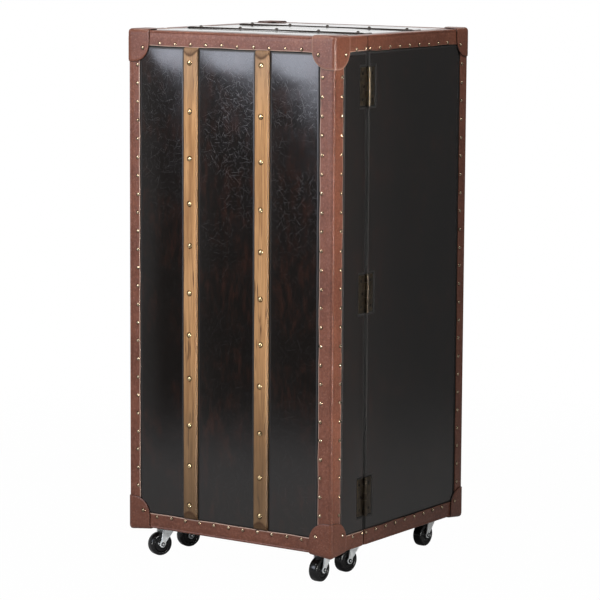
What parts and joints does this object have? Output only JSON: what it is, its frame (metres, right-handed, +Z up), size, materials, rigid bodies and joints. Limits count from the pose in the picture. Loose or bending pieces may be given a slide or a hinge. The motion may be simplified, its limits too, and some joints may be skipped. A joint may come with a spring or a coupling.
{
  "type": "bar trunk",
  "caption": "Upright leather-bound bar trunk on swivel casters, with a shallow hinged front door, and shelves, bottle bins and a stemware rack inside.",
  "frame": {"origin": "on the floor under the middle of the overall box, where the caster wheels stand", "axes": "+Z up, -Y out of the door's front, +X towards the hinges"},
  "size_m": [0.5608, 0.5598, 1.2032],
  "materials": {
    "black_leather": "plywood board under glossy black leather",
    "brown_leather": "satin",
    "slat_wood": "satin varnish",
    "dark_slat_wood": "dark satin varnish",
    "inside_wood": "stained satin",
    "bronze": "dark antique bronze",
    "zinc_steel": "zinc plated",
    "black_tyre": "glossy",
    "magnet_housing": "matte"
  },
  "bodies": {
    "trunk": {"body_back_panel": "black_leather", "body_edge_binding": "brown_leather", "body_floor_panel": "black_leather", "body_left_panel": "black_leather", "body_right_panel": "black_leather", "body_top_panel": "black_leather", "bottle_divider_left": "inside_wood", "bottle_divider_right": "inside_wood", "caster_body_front_left_plate": "zinc_steel", "caster_body_front_right_plate": "zinc_steel", "caster_body_rear_left_plate": "zinc_steel", "caster_body_rear_right_plate": "zinc_steel", "corner_cap_rear_left_bottom": "brown_leather", "corner_cap_rear_left_top": "brown_leather", "corner_cap_rear_right_bottom": "brown_leather", "corner_cap_rear_right_top": "brown_leather", "hinge_lower_body_leaf": "bronze", "hinge_lower_pin": "bronze", "hinge_middle_body_leaf": "bronze", "hinge_middle_pin": "bronze", "hinge_upper_body_leaf": "bronze", "hinge_upper_pin": "bronze", "lower_shelf": "inside_wood", "magnetic_catch": "magnet_housing", "stemware_rack": "inside_wood", "top_slat_front": "dark_slat_wood", "top_slat_rear": "dark_slat_wood", "upper_shelf": "inside_wood"},
    "door": {"caster_door_left_plate": "zinc_steel", "caster_door_right_plate": "zinc_steel", "catch_strike": "zinc_steel", "corner_cap_front_left_bottom": "brown_leather", "corner_cap_front_left_top": "brown_leather", "corner_cap_front_right_bottom": "brown_leather", "corner_cap_front_right_top": "brown_leather", "door_edge_binding": "brown_leather", "door_floor_panel": "black_leather", "door_front_panel": "black_leather", "door_left_panel": "black_leather", "door_right_panel": "black_leather", "door_shelf_lower": "inside_wood", "door_shelf_upper": "inside_wood", "door_top_panel": "black_leather", "front_slat_left": "slat_wood", "front_slat_right": "slat_wood", "hinge_lower_door_leaf": "bronze", "hinge_middle_door_leaf": "bronze", "hinge_upper_door_leaf": "bronze"},
    "swivel_door_left": {"caster_door_left_fork": "zinc_steel"},
    "wheel_door_left": {"caster_door_left_wheel": "black_tyre"},
    "swivel_door_right": {"caster_door_right_fork": "zinc_steel"},
    "wheel_door_right": {"caster_door_right_wheel": "black_tyre"},
    "swivel_body_front_left": {"caster_body_front_left_fork": "zinc_steel"},
    "wheel_body_front_left": {"caster_body_front_left_wheel": "black_tyre"},
    "swivel_body_front_right": {"caster_body_front_right_fork": "zinc_steel"},
    "wheel_body_front_right": {"caster_body_front_right_wheel": "black_tyre"},
    "swivel_body_rear_left": {"caster_body_rear_left_fork": "zinc_steel"},
    "wheel_body_rear_left": {"caster_body_rear_left_wheel": "black_tyre"},
    "swivel_body_rear_right": {"caster_body_rear_right_fork": "zinc_steel"},
    "wheel_body_rear_right": {"caster_body_rear_right_wheel": "black_tyre"}
  },
  "joints": [
    {"name": "door_hinge", "type": "hinge", "parent": "trunk", "child": "door", "pos_m": [0.2754, -0.1414, 0.63587], "axis": [0, 0, 1], "range_deg": [0, 175]},
    {"name": "swivel_door_left", "type": "hinge", "parent": "door", "child": "swivel_door_left", "pos_m": [-0.2191, -0.2154, 0.06457], "axis": [0, 0, 1], "continuous": true},
    {"name": "wheel_door_left", "type": "hinge", "parent": "swivel_door_left", "child": "wheel_door_left", "pos_m": [-0.22561, -0.23002, 0.02697], "axis": [0.9135, -0.4067, 0], "continuous": true},
    {"name": "swivel_door_right", "type": "hinge", "parent": "door", "child": "swivel_door_right", "pos_m": [0.2149, -0.2154, 0.06457], "axis": [0, 0, 1], "continuous": true},
    {"name": "wheel_door_right", "type": "hinge", "parent": "swivel_door_right", "child": "wheel_door_right", "pos_m": [0.21434, -0.23139, 0.02697], "axis": [0.9994, -0.0349, 0], "continuous": true},
    {"name": "swivel_body_front_left", "type": "hinge", "parent": "trunk", "child": "swivel_body_front_left", "pos_m": [-0.2191, -0.1049, 0.06457], "axis": [0, 0, 1], "continuous": true},
    {"name": "wheel_body_front_left", "type": "hinge", "parent": "swivel_body_front_left", "child": "wheel_body_front_left", "pos_m": [-0.22561, -0.11952, 0.02697], "axis": [0.9135, -0.4067, 0], "continuous": true},
    {"name": "swivel_body_front_right", "type": "hinge", "parent": "trunk", "child": "swivel_body_front_right", "pos_m": [0.2149, -0.1049, 0.06457], "axis": [0, 0, 1], "continuous": true},
    {"name": "wheel_body_front_right", "type": "hinge", "parent": "swivel_body_front_right", "child": "wheel_body_front_right", "pos_m": [0.2113, -0.12049, 0.02697], "axis": [0.9744, -0.225, 0], "continuous": true},
    {"name": "swivel_body_rear_left", "type": "hinge", "parent": "trunk", "child": "swivel_body_rear_left", "pos_m": [-0.2191, 0.2186, 0.06457], "axis": [0, 0, 1], "continuous": true},
    {"name": "wheel_body_rear_left", "type": "hinge", "parent": "swivel_body_rear_left", "child": "wheel_body_rear_left", "pos_m": [-0.22661, 0.20447, 0.02697], "axis": [0.8829, -0.4695, 0], "continuous": true},
    {"name": "swivel_body_rear_right", "type": "hinge", "parent": "trunk", "child": "swivel_body_rear_right", "pos_m": [0.2149, 0.2186, 0.06457], "axis": [0, 0, 1], "continuous": true},
    {"name": "wheel_body_rear_right", "type": "hinge", "parent": "swivel_body_rear_right", "child": "wheel_body_rear_right", "pos_m": [0.21434, 0.20261, 0.02697], "axis": [0.9994, -0.0349, 0], "continuous": true}
  ]
}
